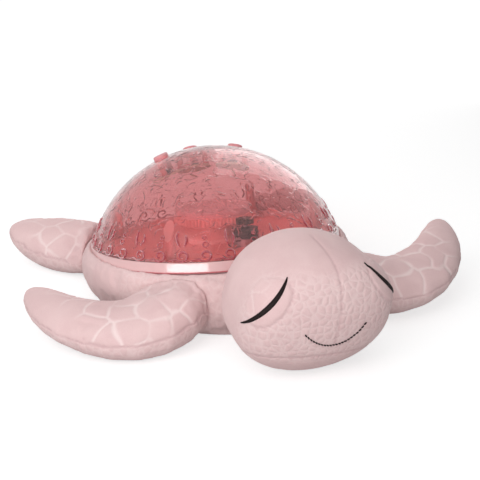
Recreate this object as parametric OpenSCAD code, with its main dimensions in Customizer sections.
// Plush turtle night light: a stuffed turtle that carries a leaning translucent shell,
// under which a slowly turning ripple lens throws the light of a cluster of lamps.
// Millimetres, +Z up. The turtle looks along -Y and lies on its belly at Z = 0,
// with the shell's axis crossing the belly plane's Z axis at the dome's foot.

/* [Shell dome] */
// Radius of the dome where it meets its flange
dome_foot_r = 97; // [95:0.5:99]
// Height of the dome above its foot
dome_h = 71.5; // [68:0.5:75]
// Wall of the dome
dome_wall = 2.4; // [1.8:0.1:3]
// How far the flange stands out from the dome's foot
flange_out = 2; // [1.6:0.1:2.6]
// Depth of the sloping flange
flange_h = 6; // [5.4:0.1:6.6]
// How far the shell leans back, with its front edge raised
shell_tilt = 9.5; // [8:0.5:10.5]
// Height of the dome's foot on the shell's axis
shell_z = 38; // [37:0.5:42]

/* [Push buttons] */
// Radius of a button
button_r = 6; // [5:0.1:7]
// How far a button stands proud of the dome
button_proud = 2.8; // [2.4:0.1:3.6]
// Travel of a button
button_travel = 1.2; // [0.6:0.1:1.5]
// Angle of the buttons from the top of the dome, about the dome's centre
button_polar = 22; // [20:0.5:25]
// Angle between neighbouring buttons round the shell's axis
button_spread = 56; // [54:1:60]

/* [Tub and deck] */
// Wall of the tub
tub_wall = 2.2; // [1.8:0.1:2.8]
// Floor of the tub
tub_floor = 2.2; // [1.8:0.1:2.8]
// Height of the tub's underside above the belly plane
tub_z = 7; // [6.6:0.1:8]
// Thickness of the deck
deck_t = 2; // [1.6:0.1:2.6]
// Distance of the shell screws from the deck's edge
screw_inset = 7; // [6:0.5:9]
// Radius of the shell screws
screw_r = 1.5; // [1.2:0.1:1.8]

/* [Lens drive] */
// Gear module
gear_module = 1; // [0.9:0.05:1.1]
// Teeth of the lens ring
ring_teeth = 60; // [54:1:66]
// Teeth of the motor pinion
pinion_teeth = 12; // [12:1:15]
// Width of the gear teeth
gear_face = 5; // [4:0.1:6]
// Radius of the collar that the lens ring turns on
collar_r = 26; // [25:0.1:26.5]
// Radius of the motor
motor_r = 10; // [9:0.1:10.5]
// Height of the motor
motor_h = 11.5; // [9:0.1:13]
// Angle of the motor round the shell's axis
motor_angle = -70; // [-90:1:-50]
// Radius of the motor shaft
shaft_r = 1.5; // [1.2:0.1:2]
// Thickness of the ripple lens
lens_t = 2; // [1.6:0.1:2.6]
// Number of lenslets on the ripple lens
lenslets = 26; // [16:1:30]

/* [Power and sound] */
// Radius of an AA cell
cell_r = 7.2; // [7:0.05:7.3]
// Length of an AA cell
cell_len = 50.5; // [49.5:0.1:50.5]
// Number of cells side by side
cells = 3; // [2:1:3]
// Distance of the cells ahead of the shell's axis
bay_y = 48; // [45:0.5:51]
// Radius of the speaker
speaker_r = 22; // [19:0.5:24]
// Distance of the speaker behind the shell's axis
speaker_y = 32; // [29:0.5:34]

/* [Stuffed body] */
// Bulge of the body past the flange at the sides
body_bulge = 2; // [1:0.5:5]
// Bulge of the body past the flange at the front
chest_bulge = 13; // [9:0.5:17]
// How far the body draws in from its widest line to the floor
body_tuck = 13; // [9:0.5:17]
// How far the body's top edge rises over the flange at the rear
lip_cover = 7; // [5:0.5:7.5]
// Half width of the head
head_half_w = 55; // [52:0.5:58]
// Half length of the head
head_half_l = 51; // [48:0.5:54]
// Half height of the head
head_half_h = 44; // [42:0.5:46]
// How far the head sinks into the chest
neck_sink = 11.5; // [8:0.5:14]
// How far the head nods forward
head_nod = 13.5; // [8:0.5:16]
// How far the head is turned to the turtle's left
head_turn = 2; // [-6:0.5:6]
// Width of a front flipper
front_chord = 62; // [58:0.5:66]
// Thickness of a front flipper
front_thick = 33; // [29:0.5:36]
// How far the shoulder of a front flipper rises above the rest of it
front_shoulder_h = 14; // [8:0.5:18]
// How far the left front flipper is swung forward from a mirror image of the right one
left_swing = 22; // [0:1:24]
// How far the tip of the left front flipper is raised above the right one's
left_lift = 17; // [0:1:20]
// Width of a rear flipper
rear_chord = 58; // [52:0.5:62]
// Thickness of a rear flipper
rear_thick = 32; // [28:0.5:35]
// Gap at the sewn seams between stuffed pieces
seam_gap = 0.3; // [0.2:0.05:0.5]

/* [Belly flap] */
// How far the flap laps over the edges of the belly's opening
flap_lap = 7; // [5:0.5:9]
// Thickness of the flap's cloth
flap_t = 1.6; // [1.2:0.1:2]
// Thickness of each hook and loop tape
tape_t = 0.9; // [0.7:0.1:1.1]
// Width of each hook and loop tape
tape_w = 12; // [9:0.5:14]

/* [Hidden] */
$fn = 96;
far = 400;               // larger than the whole part
slip = 0.2;              // gap of parts that slide together
run_gap = 0.08;          // radial gap of a shaft in its bearing
lift_gap = 0.3;          // axial gap of a turning part
seat_gap = 0.05;         // gap of faces that are screwed together

// The dome is a spherical cap with its centre below the foot
dome_R = (dome_foot_r * dome_foot_r + dome_h * dome_h) / (2 * dome_h);
dome_centre_z = dome_h - dome_R;
flange_r = dome_foot_r + flange_out;

// The tub hangs under the flange and the dome's spigot reaches into it
tub_r = dome_foot_r - 1;
tub_top = -flange_h - slip;
tub_floor_top = tub_z + tub_floor;
spigot_wall = 2;
spigot_r = tub_r - tub_wall - slip;
spigot_h = flange_h + 4;
deck_r = spigot_r - spigot_wall - 2 * slip;
deck_top = -2.5;
deck_bottom = deck_top - deck_t;

// Screw pillars of the tub and bosses of the dome
screw_circle_r = deck_r - screw_inset;
pillar_r = 5;
boss_r = 4;
boss_top = 34;
screw_head_r = 2 * screw_r;
screw_head_h = 2;
screw_seat = deck_bottom - 10;
screw_tip = deck_top + 9;
screw_angles = [45, 135, 225, 315];

// Buttons, counted from the turtle's right to its left across the back of the shell
button_names = ["light", "sound", "volume"];
button_gap = 0.3;
button_edge = 1.2;
button_flange_r = button_r + 2;
button_flange_t = 1.4;
dome_sag = button_flange_r * button_flange_r / (2 * (dome_R - dome_wall));
button_flange_top = -dome_wall - dome_sag - lift_gap;
stem_r = 2;
stem_end = button_flange_top - button_flange_t - 4;
plunger_top = stem_end - button_travel - 0.1;
plunger_r = 1.7;
switch_h = 3.5;
switch_side = 6.2;
board_t = 1.6;
board_top = plunger_top - switch_h - 0.4;
board_r = button_flange_r + 5.5;
post_r = 2.4;
post_at = button_flange_r + 3;
board_screw_r = 1;
board_screw_head_r = 1.9;
board_screw_head_h = 1.2;
board_screw_depth = 5;

// Lens drive: radii and levels above the dome's foot plane
pressure_angle = 25;
tooth_add = 0.8;
tooth_ded = 1.05;
tooth_backlash = 0.12;
ring_pitch_r = gear_module * ring_teeth / 2;
pinion_pitch_r = gear_module * pinion_teeth / 2;
drive_distance = ring_pitch_r + pinion_pitch_r + 0.05;
collar_low = 12;
shoulder_t = 1.4;
ring_low = collar_low + shoulder_t + lift_gap;
ring_high = ring_low + gear_face;
collar_high = ring_high + 2.4;
ring_bore_r = collar_r + run_gap;
carrier_r = ring_bore_r + 2.2;
carrier_high = collar_high + 1.2;
lens_skirt = 1.3;
lens_r = carrier_r + slip / 2 + lens_skirt;
lens_high = carrier_high + lens_t;
lens_skirt_low = ring_high + 2 * lift_gap;
lenslet_cap_r = 2.4;
lenslet_rise = 1;
lenslet_R = (lenslet_cap_r * lenslet_cap_r + lenslet_rise * lenslet_rise) / (2 * lenslet_rise);
shoulder_r = collar_r + 1.6;
cup_foot_r = 21;
cup_foot_in = 18.4;
cup_wall = 1.8;
lamp_board_r = 17.6;
lamp_board_t = 1.6;
lamp_r = 2.5;
lamp_h = 4;
lamp_ring_r = 9;
lamps_round = 6;
bracket_t = 1.6;
motor_low = deck_top + bracket_t;
motor_high = motor_low + motor_h;
motor_ear = motor_r + 4.5;
motor_ear_r = 4;
motor_neck_r = shaft_r + 2;
motor_neck_h = 1.2;
shaft_depth = 6;
pinion_low = ring_low + lift_gap;
pinion_high = ring_high - lift_gap;
ear_screw_r = 1.2;
ear_screw_head_r = 2.2;
ear_screw_head_h = 1.5;
ear_screw_len = 6;

// Battery bay, upright in the tub
cell_pitch = 2 * cell_r + 0.4;
cell_play = 0.5;
contact_t = 0.5;
contact_side = 10;
contact_rise = 1.2;
bay_wall = 1.8;
bay_in_w = cell_len + 2 * (contact_t + contact_rise + cell_play);
bay_in_l = cells * cell_pitch + 0.6;
bay_roof = tub_floor_top + 2 * cell_r + 0.8;
cell_z = tub_floor_top + cell_r + 0.4;
cell_nub_r = 2.7;
cell_nub_h = 1.2;
door_lip = 3;
door_w = bay_in_w + 2;
door_l = bay_in_l - door_lip + 1;
door_y = -bay_y + (door_lip + 1) / 2;
door_gap = 0.3;
door_tab_w = 9;
door_tab_t = 0.9;
ear_r = 5;
ear_y = door_y + door_l / 2 + 3;
door_screw_len = 8;
door_boss_r = 4;

// Main board over the battery bay
pcb_t = 1.6;
pcb_w = 56;
pcb_l = 44;
pcb_post_r = 2.5;
pcb_post_h = 4;
pcb_low = bay_roof + bay_wall + pcb_post_h;
pcb_high = pcb_low + pcb_t;
pcb_inset = 4;
chip_w = 16;
chip_l = 12;
chip_h = 1.8;
can_r = 2.5;
can_h = 5;
socket_w = 8;
socket_l = 5;
socket_h = 5;
socket_gap = 5;
resistor_w = 2;
resistor_l = 1.2;
resistor_h = 0.8;

// Speaker, face down on the tub's floor
speaker_rim = 3;
speaker_rim_t = 1.4;
speaker_cone_h = 6;
magnet_r = speaker_r * 0.55;
magnet_h = 4;
speaker_ring_wall = 1.6;
speaker_ring_h = 3;
grille_hole_r = 1.4;

// Stuffed pieces
plush_gap = 0.8;
well_r = tub_r + plush_gap;
body_top = tub_top - seam_gap;
hem_r = 1.3;
hem_gap = 0.3;
hem_R = well_r + hem_r;
hem_z = body_top - hem_r - hem_gap;
lip_t = 3.5;
lip_r = flange_r + lip_t;
body_sides = 56;
head_sides = 32;
head_rings = 19;
limb_sides = 20;
head_z = head_half_h + 4.7;
head_y = lip_r + chest_bulge + head_half_l - neck_sink;

// Belly flap and its recess
opening_gap = 3;
opening_front = door_y - door_l / 2 - opening_gap;
opening_rear = ear_y + ear_r + opening_gap;
opening_w = door_w + 2 * opening_gap;
flap_front = opening_front - tape_w - 1;
hinge_y = opening_rear + flap_lap;
flap_w = opening_w + 2 * flap_lap;
flap_l = hinge_y - flap_front;
flap_y = (hinge_y + flap_front) / 2;
flap_low = 0.4;
flap_corner = 10;
recess_gap = 0.8;
recess_top = flap_low + flap_t + 2 * tape_t + 0.2;
hem_roll_r = flap_t / 2;

// Places

// The shell's own frame: Z along its leaning axis, Z = 0 at the dome's foot
module in_shell() translate([0, 0, shell_z]) rotate([-shell_tilt, 0, 0]) children();

// A frame on the dome's skin at one button, Z out along the skin's normal
module at_button(i)
    translate([0, 0, dome_centre_z]) rotate([0, 0, (1 - i) * button_spread]) rotate([-button_polar, 0, 0])
        translate([0, 0, dome_R]) children();

module at_screws() for (a = screw_angles) rotate([0, 0, a]) translate([screw_circle_r, 0, 0]) children();

module at_motor() rotate([0, 0, motor_angle]) translate([drive_distance, 0, 0]) children();

// Height of the plane that lies at level u of the shell, over the point y of the belly plane
function shell_plane_z(u, y) = shell_z + u / cos(shell_tilt) - y * tan(shell_tilt);

// Lofted skins: rings of equal count, closed by a pole at each end

function loft_faces(rings, sides) = let (last = 1 + rings * sides) concat(
    [for (j = [0:sides - 1]) [0, 1 + j, 1 + (j + 1) % sides]],
    [for (i = [0:rings - 2], j = [0:sides - 1], half = [0, 1])
        let (a = 1 + i * sides + j, b = 1 + i * sides + (j + 1) % sides)
        half == 0 ? [a, b + sides, b] : [a, a + sides, b + sides]],
    [for (j = [0:sides - 1])
        [last, 1 + (rings - 1) * sides + (j + 1) % sides, 1 + (rings - 1) * sides + j]]
);

module loft(rings, first, last) polyhedron(
    points = concat([first], [for (r = rings) each r], [last]),
    faces = loft_faces(len(rings), len(rings[0]))
);

// A stuffed form stays one triangulated skin after its cuts
module stuffed() resize([0, 0, 0]) children();

function bezier(p, t) =
    pow(1 - t, 3) * p[0] + 3 * pow(1 - t, 2) * t * p[1] + 3 * (1 - t) * t * t * p[2] + pow(t, 3) * p[3];
function bezier_way(p, t) =
    3 * pow(1 - t, 2) * (p[1] - p[0]) + 6 * (1 - t) * t * (p[2] - p[1]) + 3 * t * t * (p[3] - p[2]);
function unit(v) = v / norm(v);
function cross3(a, b) = cross(a, b);

// Stuffed body: a low pillow between the floor and the shell's flange

function body_bulge_at(a) = let (s = sin(a))
    s < 0 ? body_bulge + (chest_bulge - body_bulge) * s * s : body_bulge;

// The body's top edge covers the flange at the rear and both sides, and leaves it bare in front
function lip_rise(a) = let (u = min(1, (sin(a) + 1) / 1.4)) lip_cover * u * u * (3 - 2 * u);

// One ring of the body's skin; part runs from 0 at the floor over 1 at the widest line to 2 at the lip
function body_ring(part, grow) = [for (j = [0:body_sides - 1])
    let (
        a = 360 * j / body_sides,
        wide = lip_r + body_bulge_at(a),
        lip_z = shell_plane_z(body_top + lip_rise(a), lip_r * sin(a)) + grow,
        wide_z = 0.45 * lip_z,
        r = part <= 1 ? wide - body_tuck * (1 - sin(90 * part))
            : wide - (wide - lip_r) * (1 - sin(90 * (2 - part))),
        z = part <= 1 ? wide_z * (1 - cos(90 * part))
            : lip_z - (lip_z - wide_z) * (1 - sin(90 * (part - 1)))
    )
    [(r + grow) * cos(a), (r + grow) * sin(a), z]];

module body_skin(grow = 0) {
    steps = [0, 0.2, 0.4, 0.6, 0.8, 1, 1.25, 1.5, 1.75, 2];
    crown_z = shell_plane_z(body_top + lip_cover + 1, 0) + grow;
    loft([for (s = steps) body_ring(s, grow)], [0, 0, 0], [0, 0, crown_z]);
}

// Room that the stuffed pieces leave for the hard shell
module shell_room(gap) in_shell() {
    translate([0, 0, body_top]) cylinder(r = flange_r + gap, h = far, $fn = body_sides);
    translate([0, 0, -far]) cylinder(r = well_r, h = far, $fn = body_sides);
}

module well() intersection() {
    in_shell() translate([0, 0, -far / 2]) cylinder(r = well_r, h = far, $fn = body_sides);
    translate([-far / 2, -far / 2, tub_z - seam_gap]) cube(far);
}

module rounded_plate(w, l, corner, h, fn = $fn) {
    translate([-w / 2 + corner, -l / 2, 0]) cube([w - 2 * corner, l, h]);
    translate([-w / 2, -l / 2 + corner, 0]) cube([w, l - 2 * corner, h]);
    for (x = [-1, 1], y = [-1, 1])
        translate([x * (w / 2 - corner), y * (l / 2 - corner), 0]) cylinder(r = corner, h = h, $fn = fn);
}

module plush_body() color("pink") stuffed() difference() {
    body_skin();
    well();
    in_shell() translate([0, 0, hem_z - hem_r - hem_gap])
        rotate([0, 0, 180 / body_sides])
            cylinder(r = hem_R + hem_r + hem_gap, h = far / 4, $fn = body_sides);
    translate([0, flap_y, -1])
        rounded_plate(flap_w + 2 * recess_gap, flap_l + 2 * recess_gap, flap_corner / 3,
            recess_top + 1, 24);
    translate([0, (opening_front + opening_rear) / 2, -1])
        rounded_plate(opening_w, opening_rear - opening_front, flap_corner / 2, far / 10, 24);
}

// Head: a ball with a broad blunt muzzle, full jowls and raised lids

cheek_swell = 0.43;
muzzle_swell = 0.35;
jowl_swell = 0.18;
lid_lon = 50;
lid_lat = 24;
lid_rise = 3.2;

function lid_swell(lon, lat) = let (d = [(abs(lon) - lid_lon) * cos(lat) / 24, (lat - lid_lat) / 26])
    lid_rise * exp(-d * d);

function turned_x(p, a) = [p.x, p.y * cos(a) - p.z * sin(a), p.y * sin(a) + p.z * cos(a)];
function turned_z(p, a) = [p.x * cos(a) - p.y * sin(a), p.x * sin(a) + p.y * cos(a), p.z];

// A point of the head's skin; lon turns from the nose to the turtle's left, lat rises from the brow line
function head_point(lon, lat, out = 0) = let (
        way = [sin(lon) * cos(lat), -cos(lon) * cos(lat), sin(lat)],
        fore = pow(max(0, -way.y), 1.5),
        p = [head_half_w * way.x * (1 + cheek_swell * fore), head_half_l * way.y,
            head_half_h * way.z * (1 + muzzle_swell * fore)] + (out + lid_swell(lon, lat)) * way,
        q = [p.x * (1 - jowl_swell * min(0, way.z)), p.y, p.z]
    )
    turned_z(turned_x(q, head_nod), head_turn) + [0, -head_y, head_z];

// The head's rings run about the nose axis, so that both poles lie on the middle seam
function head_ring(polar) = [for (j = [0:head_sides - 1])
    let (
        a = 360 * j / head_sides,
        way = [sin(polar) * cos(a), -cos(polar), -sin(polar) * sin(a)]
    )
    head_point(atan2(way.x, -way.y), asin(way.z))];

module head_skin() loft(
    [for (i = [1:head_rings]) head_ring(180 * i / (head_rings + 1))],
    head_point(0, 0), head_point(180, 0)
);

module plush_head() color("pink") stuffed() difference() {
    head_skin();
    body_skin(seam_gap);
    shell_room(lip_t + 1);
}

// Flippers: paddles along a curved spine, round at the tip, lying on the floor

function paddle_swell(t) = sqrt(max(0.0004, 1 - pow(t, 3.4)));

// Share of a flipper's length over which its raised shoulder runs out
shoulder_end = 0.5;
function shoulder_at(t) = t < shoulder_end ? (1 + cos(180 * t / shoulder_end)) / 2 : 0;

function paddle_ring(route, chord, thick, shoulder, lift, roll, t) = let (
        spine = bezier(route, t),
        way = unit(bezier_way(route, t)),
        lead = [-way.y, way.x, 0],
        half_c = chord / 2 * paddle_swell(t) * (1 - 0.15 * t) * (0.7 + 0.3 * sin(min(90, 230 * t))),
        rise = shoulder / 2 * shoulder_at(t),
        half_t = thick / 2 * paddle_swell(t) * (1 - 0.3 * t) + rise,
        mid_z = thick * 0.55 + lift * t * t + rise
    )
    [for (j = [0:limb_sides - 1])
        let (
            a = 360 * j / limb_sides,
            c = half_c * cos(a),
            h = half_t * sin(a) * (1 + 0.25 * cos(a)),
            reach = c * cos(roll) + h * sin(roll)
        )
        [spine.x + lead.x * reach, spine.y + lead.y * reach,
            max(0.6, mid_z - c * sin(roll) + h * cos(roll))]];

module paddle(route, chord, thick, shoulder, lift, roll) {
    steps = [0, 0.1, 0.2, 0.3, 0.4, 0.5, 0.6, 0.7, 0.78, 0.85, 0.91, 0.955, 0.985, 1];
    rings = [for (t = steps) paddle_ring(route, chord, thick, shoulder, lift, roll, t)];
    loft(rings, middle(rings[0]), middle(rings[len(rings) - 1]));
}

function middle(ring) = [for (k = [0:2]) let (v = [for (p = ring) p[k]]) (max(v) + min(v)) / 2];

// Spines as [distance out from the body's lip, bearing], from inside the body to the tip
front_stations = [[-22, 235], [58.5, 232.5], [72.5, 212.5], [52.5, 183.5]];
rear_stations = [[-37, 142.5], [1, 140.5], [39.5, 139.5], [73.5, 139.5]];
function from_lip(station) = (lip_r + station[0]) * [cos(station[1]), sin(station[1]), 0];
front_route = [for (p = front_stations) from_lip(p)];
rear_route = [for (p = rear_stations) from_lip(p)];
front_shoulder = from_lip([14.5, 230]);
front_roll = 17;
front_lift = 4;
rear_roll = 18;
rear_lift = 9;

module front_paddle(lift)
    paddle(front_route, front_chord, front_thick, front_shoulder_h, front_lift + lift, front_roll);

module left_front_paddle()
    translate([-front_shoulder.x, front_shoulder.y, 0]) rotate([0, 0, -left_swing])
        translate([front_shoulder.x, -front_shoulder.y, 0]) mirror([1, 0, 0]) front_paddle(left_lift);

module rear_paddle() paddle(rear_route, rear_chord, rear_thick, 0, rear_lift, rear_roll);

module limb() color("pink") stuffed() difference() {
    children();
    body_skin(seam_gap);
    shell_room(lip_t + 1);
}

module right_front_flipper() difference_from_head() front_paddle(0);
module left_front_flipper() difference_from_head() left_front_paddle();

// The front flippers also give way to the cheeks
module difference_from_head() color("pink") stuffed() difference() {
    children();
    body_skin(seam_gap);
    translate([0, -head_y, head_z]) scale(1 + 2 * seam_gap / head_half_h) translate([0, head_y, -head_z])
        head_skin();
    shell_room(lip_t + 1);
}

module right_rear_flipper() limb() rear_paddle();
module left_rear_flipper() limb() mirror([1, 0, 0]) rear_paddle();

tail_len = 34;
tail_root_r = 11;
module tail() limb() {
    steps = [0, 0.15, 0.3, 0.45, 0.6, 0.75, 0.88, 0.96, 1];
    rings = [for (t = steps) let (r = tail_root_r * (1 - 0.55 * t) * paddle_swell(t))
        [for (j = [0:limb_sides - 1]) let (a = 360 * j / limb_sides)
            [r * 1.3 * cos(a), lip_r - 10 + tail_len * t,
                max(0.6, 1 + tail_root_r * (1 - 0.4 * t) - r * sin(a))]]];
    loft(rings, middle(rings[0]), middle(rings[len(rings) - 1]));
}

module elastic_hem() color("lightpink") in_shell()
    rotate_extrude() translate([hem_R, hem_z]) circle(r = hem_r);

// Embroidery: raised satin stitches that follow the head's skin

eye_low = [67, 3.3];
eye_bend = [35, 25];
eye_high = [43, 48];
mouth_half = 18;
mouth_drop = 12;
mouth_lat = 5.5;
thread_half = 0.55;
eye_half = 1.9;
stitch_rise = 0.5;
stitch_sunk = 0.35;

function eye_path(side, t) =
    let (p = (1 - t) * (1 - t) * eye_low + 2 * t * (1 - t) * eye_bend + t * t * eye_high)
    [side * p.x, p.y];
function mouth_path(t) = [mouth_half * (2 * t - 1), mouth_lat - mouth_drop * 4 * t * (1 - t)];

// A stitch bead along a path of the head; half is its half width at each point
function stitch_ring(here, next, half) = let (
        p = head_point(here.x, here.y),
        out = unit(head_point(here.x, here.y, 1) - p),
        side = unit(cross3(unit(head_point(next.x, next.y) - p), out))
    )
    [for (j = [0:5]) let (a = 60 * j) p + side * half * cos(a)
        + out * (stitch_sunk + stitch_rise * (1 + sin(a)))];

module stitch(path, halves) {
    rings = [for (i = [0:len(path) - 2]) stitch_ring(path[i], path[i + 1], halves[i])];
    loft(rings, middle(rings[0]), middle(rings[len(rings) - 1]));
}

eye_steps = 16;
module eye_stitch(side) color("saddlebrown") stitch(
    [for (i = [0:eye_steps]) eye_path(side, i / eye_steps)],
    [for (i = [0:eye_steps]) thread_half + (eye_half - thread_half) * pow(sin(180 * i / eye_steps), 0.8)]
);

mouth_steps = 20;
module mouth_stitch() color("saddlebrown") stitch(
    [for (i = [0:mouth_steps]) mouth_path(i / mouth_steps)],
    [for (i = [0:mouth_steps]) thread_half]
);

// Belly flap with its hook and loop closure

module belly_flap() color("pink") {
    translate([0, flap_y, flap_low]) difference() {
        rounded_plate(flap_w, flap_l, flap_corner, flap_t);
        translate([-far / 2, flap_l / 2 - hem_roll_r, -1]) cube([far, far, far]);
    }
    translate([-flap_w / 2 + flap_corner, hinge_y - hem_roll_r, flap_low + hem_roll_r]) rotate([0, 90, 0])
        cylinder(r = hem_roll_r, h = flap_w - 2 * flap_corner);
}

module tape(low) translate([-flap_w / 2 + flap_corner, flap_front + 1, low])
    cube([flap_w - 2 * flap_corner, tape_w - 2, tape_t]);

module hook_tape() color("mistyrose") tape(flap_low + flap_t + seat_gap);
module loop_tape() color("mistyrose") tape(recess_top - tape_t - seat_gap);

// Shell dome with its sloping flange, spigot, screw bosses and button posts

module dome_profile() {
    intersection() {
        difference() {
            translate([0, dome_centre_z]) circle(r = dome_R);
            translate([0, dome_centre_z]) circle(r = dome_R - dome_wall);
        }
        square([far, far]);
    }
    polygon([
        [dome_foot_r - dome_wall, 1.5], [dome_foot_r - 0.4, 1.5], [flange_r, -flange_h + 1],
            [flange_r, -flange_h],
        [flange_r - dome_wall, -flange_h], [dome_foot_r - dome_wall, -0.5], [spigot_r, -0.8],
            [spigot_r, -spigot_h],
        [spigot_r - spigot_wall, -spigot_h], [spigot_r - spigot_wall, 1.5]
    ]);
}

module inside_dome() intersection_for(i = [0:1]) {
    if (i == 0) children();
    else translate([0, 0, dome_centre_z]) sphere(r = dome_R - dome_wall / 2);
}

module shell_dome() color("indianred") difference() {
    union() {
        rotate_extrude() dome_profile();
        inside_dome() at_screws() translate([0, 0, deck_top + seat_gap])
            cylinder(r = boss_r, h = boss_top);
        inside_dome() for (i = [0:2]) at_button(i) at_posts()
            translate([0, 0, board_top + seat_gap]) cylinder(r = post_r, h = -board_top);
    }
    for (i = [0:2]) at_button(i) {
        translate([0, 0, -far / 40]) cylinder(r = button_r + button_gap, h = far / 20);
        at_posts() translate([0, 0, board_top - 1])
            cylinder(r = board_screw_r + slip / 4, h = board_screw_depth + 1);
    }
    at_screws() translate([0, 0, deck_top - 1])
        cylinder(r = screw_r + slip / 4, h = screw_tip - deck_top + 2);
}

module at_posts() for (s = [-1, 1]) translate([s * post_at, 0, 0]) children();

module shell_screws() color("silver") in_shell() at_screws() {
    translate([0, 0, screw_seat - screw_head_h]) cylinder(r = screw_head_r, h = screw_head_h);
    translate([0, 0, screw_seat - 1]) cylinder(r = screw_r, h = screw_tip - screw_seat + 1);
}

// Push buttons and the small boards behind them

module button_cap(i) color("palevioletred") in_shell() at_button(i) {
    rotate_extrude() {
        translate([0, button_flange_top])
            square([button_r, button_proud - button_edge - button_flange_top]);
        square([button_r - button_edge, button_proud]);
        translate([button_r - button_edge, button_proud - button_edge]) intersection() {
            circle(r = button_edge);
            square(button_edge);
        }
        translate([0, button_flange_top - button_flange_t]) square([button_flange_r, button_flange_t]);
        translate([0, stem_end]) square([stem_r, button_flange_top - stem_end]);
    }
}

module button_boards() color("seagreen") in_shell() for (i = [0:2]) at_button(i) difference() {
    translate([0, 0, board_top - board_t]) cylinder(r = board_r, h = board_t);
    at_posts() translate([0, 0, board_top - board_t - 1])
        cylinder(r = board_screw_r + slip, h = board_t + 2);
}

module tact_switches() color("dimgray") in_shell() for (i = [0:2]) at_button(i) {
    translate([-switch_side / 2, -switch_side / 2, board_top]) cube([switch_side, switch_side, switch_h]);
    translate([0, 0, board_top + switch_h - 0.5])
        cylinder(r = plunger_r, h = plunger_top - board_top - switch_h + 0.5);
}

module button_board_screws() color("silver") in_shell() for (i = [0:2]) at_button(i) at_posts() {
    translate([0, 0, board_top - board_t - board_screw_head_h])
        cylinder(r = board_screw_head_r, h = board_screw_head_h);
    translate([0, 0, board_top - board_t - 0.5])
        cylinder(r = board_screw_r, h = board_screw_depth + board_t - 0.5);
}

// Tub: a leaning cup cut off level, with the battery bay, pillars and speaker seat on its floor

module tub_space(r, low) intersection() {
    in_shell() translate([0, 0, tub_top - far / 2]) cylinder(r = r, h = far / 2);
    translate([-far / 2, -far / 2, low]) cube(far);
}

module bay_block(grow, low, high)
    translate([-bay_in_w / 2 - grow, -bay_y - bay_in_l / 2 - grow, low])
        cube([bay_in_w + 2 * grow, bay_in_l + 2 * grow, high - low]);

module door_outline(grow, low, high) {
    translate([-door_w / 2 - grow, door_y - door_l / 2 - grow, low])
        cube([door_w + 2 * grow, door_l + 2 * grow, high - low]);
    translate([0, ear_y, low]) cylinder(r = ear_r + grow, h = high - low);
}

module at_pcb_posts() for (x = [-1, 1], y = [-1, 1])
    translate([x * (pcb_w / 2 - pcb_inset), -bay_y + y * (pcb_l / 2 - pcb_inset), 0]) children();

module base_tub() color("mistyrose") difference() {
    union() {
        difference() {
            tub_space(tub_r, tub_z);
            tub_space(tub_r - tub_wall, tub_floor_top);
        }
        intersection() {
            in_shell() at_screws() translate([0, 0, deck_bottom - seat_gap - far / 2])
                cylinder(r = pillar_r, h = far / 2);
            translate([-far / 2, -far / 2, tub_z + tub_floor / 2]) cube(far);
        }
        bay_block(bay_wall, tub_floor_top - 0.5, bay_roof + bay_wall);
        translate([0, ear_y, tub_floor_top + seat_gap]) cylinder(r = door_boss_r, h = door_screw_len + 1);
        translate([0, speaker_y, tub_floor_top - 0.5]) difference() {
            cylinder(r = speaker_r + slip + speaker_ring_wall, h = speaker_ring_h + 0.5);
            translate([0, 0, -1]) cylinder(r = speaker_r + slip, h = far / 10);
        }
        at_pcb_posts() translate([0, 0, bay_roof + bay_wall - 0.5])
            cylinder(r = pcb_post_r, h = pcb_post_h + 0.5 - seat_gap);
    }
    bay_block(0, tub_floor_top, bay_roof);
    door_outline(door_gap, tub_z - 1, tub_floor_top);
    translate([0, ear_y, tub_z]) cylinder(r = screw_r + slip / 4, h = tub_floor + door_screw_len);
    in_shell() at_screws() {
        translate([0, 0, -far / 2]) cylinder(r = screw_head_r + slip, h = far / 2 + screw_seat);
        translate([0, 0, screw_seat - 1]) cylinder(r = screw_r + slip, h = far / 20);
    }
    at_pcb_posts() translate([0, 0, pcb_low - pcb_post_h])
        cylinder(r = board_screw_r + slip / 4, h = far / 20);
    translate([0, speaker_y, tub_z - 1]) grille_holes(tub_floor + 2);
}

module grille_holes(h) {
    cylinder(r = grille_hole_r, h = h);
    for (ring = [1:3], k = [0:6 * ring - 1])
        rotate([0, 0, 60 * k / ring])
            translate([ring * (speaker_r - speaker_rim - grille_hole_r) / 3.3, 0, 0])
            cylinder(r = grille_hole_r, h = h);
}

module battery_door() color("mistyrose") difference() {
    union() {
        door_outline(0, tub_z, tub_floor_top - seat_gap);
        for (x = [-1, 1]) translate([x * door_w / 4 - door_tab_w / 2,
            door_y - door_l / 2 - door_lip + 0.6, tub_floor_top + seat_gap])
            cube([door_tab_w, door_lip + 1, door_tab_t]);
        for (x = [-1, 1]) translate([x * door_w / 4 - door_tab_w / 2, door_y - door_l / 2, tub_z + 0.5])
            cube([door_tab_w, 1.6, tub_floor + seat_gap + door_tab_t - 0.5]);
    }
    translate([0, ear_y, tub_z - 1]) cylinder(r = screw_r + slip, h = tub_floor + 2);
}

module door_screw() color("silver") translate([0, ear_y, tub_z]) {
    translate([0, 0, -screw_head_h]) cylinder(r = screw_head_r, h = screw_head_h - seat_gap);
    translate([0, 0, -1]) cylinder(r = screw_r, h = door_screw_len + 1);
}

module at_cells() for (i = [0:cells - 1])
    translate([0, -bay_y + (i - (cells - 1) / 2) * cell_pitch, cell_z])
        rotate([0, 0, 180 * (i % 2)]) children();

module battery_cells() color("slategray") at_cells() rotate([0, 90, 0]) {
    translate([0, 0, -cell_len / 2]) cylinder(r = cell_r, h = cell_len - cell_nub_h);
    translate([0, 0, cell_len / 2 - cell_nub_h - 0.5]) cylinder(r = cell_nub_r, h = cell_nub_h + 0.5);
}

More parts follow.
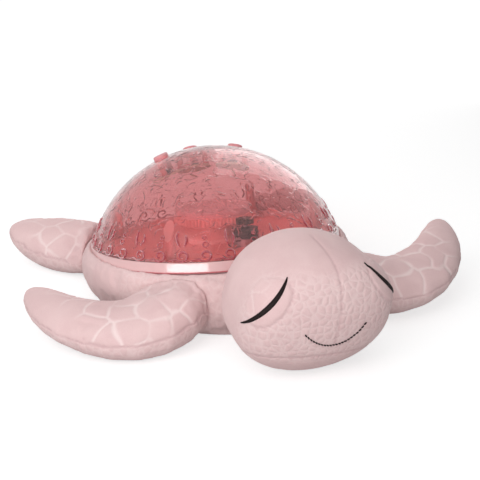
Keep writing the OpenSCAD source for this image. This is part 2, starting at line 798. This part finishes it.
module battery_contacts() color("gainsboro") at_cells() for (s = [-1, 1])
    translate([s * (bay_in_w / 2 - seat_gap), 0, 0]) rotate([0, -90 * s, 0]) {
        translate([-contact_side / 2, -contact_side / 2, 0])
            cube([contact_side, contact_side, contact_t]);
        cylinder(r1 = contact_side / 3, r2 = contact_side / 5, h = contact_t + contact_rise);
    }

module main_board() color("seagreen") difference() {
    translate([-pcb_w / 2, -bay_y - pcb_l / 2, pcb_low]) cube([pcb_w, pcb_l, pcb_t]);
    at_pcb_posts() translate([0, 0, pcb_low - 1]) cylinder(r = board_screw_r + slip, h = pcb_t + 2);
}

module board_components() color("darkslategray") translate([0, -bay_y, pcb_high + seat_gap]) {
    translate([-chip_w / 2, -chip_l / 2, 0]) cube([chip_w, chip_l, chip_h]);
    for (x = [-1, 1]) translate([x * chip_w, chip_l / 2 + can_r, 0]) cylinder(r = can_r, h = can_h);
    for (x = [-1, 0, 1])
        translate([x * (socket_w + socket_gap) - socket_w / 2, pcb_inset - pcb_l / 2, 0])
            cube([socket_w, socket_l, socket_h]);
    for (x = [-2:2])
        translate([x * socket_gap - resistor_w / 2, chip_l / 2 + 2 * can_r, 0])
            cube([resistor_w, resistor_l, resistor_h]);
}

module board_screws() color("silver") at_pcb_posts() {
    translate([0, 0, pcb_high]) cylinder(r = board_screw_head_r, h = board_screw_head_h);
    translate([0, 0, pcb_high - board_screw_depth])
        cylinder(r = board_screw_r, h = board_screw_depth + 0.5);
}

// Speaker: a pressed basket with its magnet, and a paper cone that looks at the grille

module speaker_basket() color("dimgray")
    translate([0, speaker_y, tub_floor_top + seat_gap]) rotate_extrude() {
    polygon([
        [speaker_r - speaker_rim, 0], [speaker_r, 0], [speaker_r, speaker_rim_t],
        [speaker_r - 1, speaker_rim_t], [magnet_r + 1, speaker_cone_h + 3],
            [magnet_r, speaker_cone_h + 3],
        [magnet_r, speaker_cone_h + 3 + magnet_h], [0, speaker_cone_h + 3 + magnet_h],
            [0, speaker_cone_h + 2],
        [magnet_r, speaker_cone_h + 2], [speaker_r - speaker_rim, speaker_rim_t]
    ]);
}

module speaker_cone() color("black")
    translate([0, speaker_y, tub_floor_top + seat_gap]) rotate_extrude() {
    rim = speaker_r - speaker_rim - slip;
    polygon([
        [0, speaker_cone_h - 1.6], [rim * 0.3, speaker_cone_h - 1.2], [rim, 0.2], [rim, 1],
        [rim * 0.3, speaker_cone_h], [rim * 0.2, speaker_cone_h + 1.8], [0, speaker_cone_h + 1.8]
    ]);
}

// Deck and light engine, in the shell's frame

module light_deck() color("lightcoral") in_shell() difference() {
    union() {
        translate([0, 0, deck_bottom]) cylinder(r = deck_r, h = deck_t);
        at_motor() at_ears() translate([0, 0, deck_top - ear_screw_len])
            cylinder(r = 3, h = ear_screw_len);
    }
    at_screws() translate([0, 0, deck_bottom - 1]) cylinder(r = screw_r + slip, h = deck_t + 2);
    at_motor() at_ears() translate([0, 0, deck_top - ear_screw_len - 1])
        cylinder(r = ear_screw_r + slip / 4, h = ear_screw_len + 2);
    translate([0, 0, deck_bottom - 1]) cylinder(r = 4, h = deck_t + 2);
}

module at_ears() for (s = [-1, 1]) translate([0, s * motor_ear, 0]) children();

module lamp_board() color("white") in_shell() translate([0, 0, deck_top + seat_gap])
    cylinder(r = lamp_board_r, h = lamp_board_t);

module lamps() color("mistyrose") in_shell() translate([0, 0, deck_top + lamp_board_t + 2 * seat_gap]) {
    lamp();
    for (k = [0:lamps_round - 1]) rotate([0, 0, 360 * k / lamps_round])
        translate([lamp_ring_r, 0, 0]) lamp();
}

module lamp() {
    cylinder(r = lamp_r + 0.4, h = 1);
    cylinder(r = lamp_r, h = lamp_h);
    translate([0, 0, lamp_h]) sphere(r = lamp_r - 0.01);
}

module reflector_cup() color("snow") in_shell() rotate_extrude() polygon([
    [cup_foot_in, deck_top + seat_gap], [cup_foot_r, deck_top + seat_gap], [cup_foot_r, deck_top + 2],
    [cup_foot_in + cup_wall, deck_top + 3.5], [collar_r - 2.5, collar_low - 2], [shoulder_r, collar_low],
    [shoulder_r, collar_low + shoulder_t], [collar_r, collar_low + shoulder_t], [collar_r, collar_high],
    [collar_r - cup_wall, collar_high], [cup_foot_in, deck_top + 3]
]);

// Involute gear outline, with the flanks thinned by the backlash

function involute(base, r) = let (a = acos(base / r)) tan(a) * 180 / PI - a;

function gear_points(teeth, inside) = let (
        pitch = gear_module * teeth / 2,
        base = pitch * cos(pressure_angle),
        tip = pitch + tooth_add * gear_module,
        root = pitch - tooth_ded * gear_module,
        low = max(base, root),
        half = 90 / teeth - tooth_backlash / 2 / pitch * 180 / PI + involute(base, pitch),
        steps = 4,
        flank = [for (k = [0:steps])
            let (r = low + (tip - low) * k / steps) [r, half - involute(base, r)]],
        left = concat(root < low ? [[root, half]] : [], flank)
    )
    [for (t = [0:teeth - 1]) let (mid = 360 * t / teeth)
        each concat(
            [for (p = left) [p[0] * cos(mid - p[1]), p[0] * sin(mid - p[1])]],
            [for (k = [len(left) - 1:-1:0]) let (p = left[k])
                [p[0] * cos(mid + p[1]), p[0] * sin(mid + p[1])]]
        )];

module lens_ring_gear() color("snow") in_shell() difference() {
    union() {
        translate([0, 0, ring_low]) linear_extrude(gear_face) polygon(gear_points(ring_teeth));
        translate([0, 0, ring_low]) cylinder(r = carrier_r, h = carrier_high - ring_low);
    }
    translate([0, 0, ring_low - 1]) cylinder(r = ring_bore_r, h = far / 10);
}

// Clear lens with rounded lenslets set out like sunflower seeds
module ripple_lens() color("lavenderblush") in_shell() {
    difference() {
        translate([0, 0, lens_skirt_low]) cylinder(r = lens_r, h = lens_high - lens_skirt_low);
        translate([0, 0, lens_skirt_low - 1])
            cylinder(r = carrier_r + slip / 2, h = carrier_high + seat_gap - lens_skirt_low + 1);
    }
    for (k = [1:lenslets]) rotate([0, 0, 137.508 * k])
        translate([(lens_r - lenslet_cap_r - 1) * sqrt(k / lenslets), 0,
            lens_high + lenslet_rise - lenslet_R])
            intersection() {
                sphere(r = lenslet_R);
                translate([-far / 2, -far / 2, lenslet_R - lenslet_rise - 0.4]) cube(far);
            }
}

module motor_pinion() color("gold") in_shell() at_motor()
    rotate([0, 0, pinion_mesh_turn()]) difference() {
    translate([0, 0, pinion_low]) linear_extrude(pinion_high - pinion_low)
        polygon(gear_points(pinion_teeth));
    translate([0, 0, pinion_low - 1]) cylinder(r = shaft_r, h = far / 10);
}

// Turn that puts a gap of the pinion on the tooth, or tooth on the gap, of the ring it meets
function pinion_mesh_turn() = let (
        ring_phase = (motor_angle * ring_teeth / 360) - floor(motor_angle * ring_teeth / 360)
    )
    180 + 180 / pinion_teeth + ring_phase * 360 / pinion_teeth;

module motor_shaft() color("silver") in_shell() at_motor()
    translate([0, 0, motor_high - shaft_depth])
        cylinder(r = shaft_r, h = pinion_high + 0.8 - motor_high + shaft_depth);

module drive_motor() color("dimgray") in_shell() at_motor() difference() {
    union() {
        translate([0, 0, motor_low + seat_gap]) cylinder(r = motor_r, h = motor_h - seat_gap);
        translate([0, 0, motor_high - 0.5]) cylinder(r = motor_neck_r, h = motor_neck_h + 0.5);
    }
    translate([0, 0, motor_high - shaft_depth - lift_gap]) cylinder(r = shaft_r + run_gap, h = far / 10);
}

module motor_bracket() color("lightgray") in_shell() at_motor() difference() {
    union() {
        translate([0, 0, deck_top + seat_gap]) cylinder(r = motor_r + 1, h = bracket_t - seat_gap);
        at_ears() translate([0, 0, deck_top + seat_gap])
            cylinder(r = motor_ear_r, h = bracket_t - seat_gap);
        translate([-motor_ear_r, -motor_ear, deck_top + seat_gap])
            cube([2 * motor_ear_r, 2 * motor_ear, bracket_t - seat_gap]);
        translate([0, 0, deck_top + seat_gap]) difference() {
            cylinder(r = motor_r + 1.4, h = bracket_t + motor_h * 0.4);
            translate([0, 0, bracket_t - 0.2]) cylinder(r = motor_r + slip / 2, h = far / 10);
        }
    }
    at_ears() translate([0, 0, deck_top - 1]) cylinder(r = ear_screw_r + slip, h = far / 10);
    for (s = [-1, 1]) at_ears() translate([0, 0, deck_top + bracket_t])
        cylinder(r = ear_screw_head_r + slip, h = far / 10);
}

module bracket_screws() color("silver") in_shell() at_motor() at_ears() {
    translate([0, 0, deck_top + bracket_t + seat_gap])
        cylinder(r = ear_screw_head_r, h = ear_screw_head_h);
    translate([0, 0, deck_top + bracket_t - ear_screw_len])
        cylinder(r = ear_screw_r, h = ear_screw_len + 0.5);
}

in_shell() shell_dome();
button_cap(0);  // light_button
button_cap(1);  // sound_button
button_cap(2);  // volume_button
button_boards();
tact_switches();
button_board_screws();
base_tub();
shell_screws();
light_deck();
lamp_board();
lamps();
reflector_cup();
lens_ring_gear();
ripple_lens();
drive_motor();
motor_shaft();
motor_pinion();
motor_bracket();
bracket_screws();
battery_door();
door_screw();
battery_cells();
battery_contacts();
main_board();
board_components();
board_screws();
speaker_basket();
speaker_cone();
plush_body();
plush_head();
right_front_flipper();
left_front_flipper();
right_rear_flipper();
left_rear_flipper();
tail();
elastic_hem();
belly_flap();
hook_tape();
loop_tape();
eye_stitch(-1);  // right_eye_stitch
eye_stitch(1);  // left_eye_stitch
mouth_stitch();
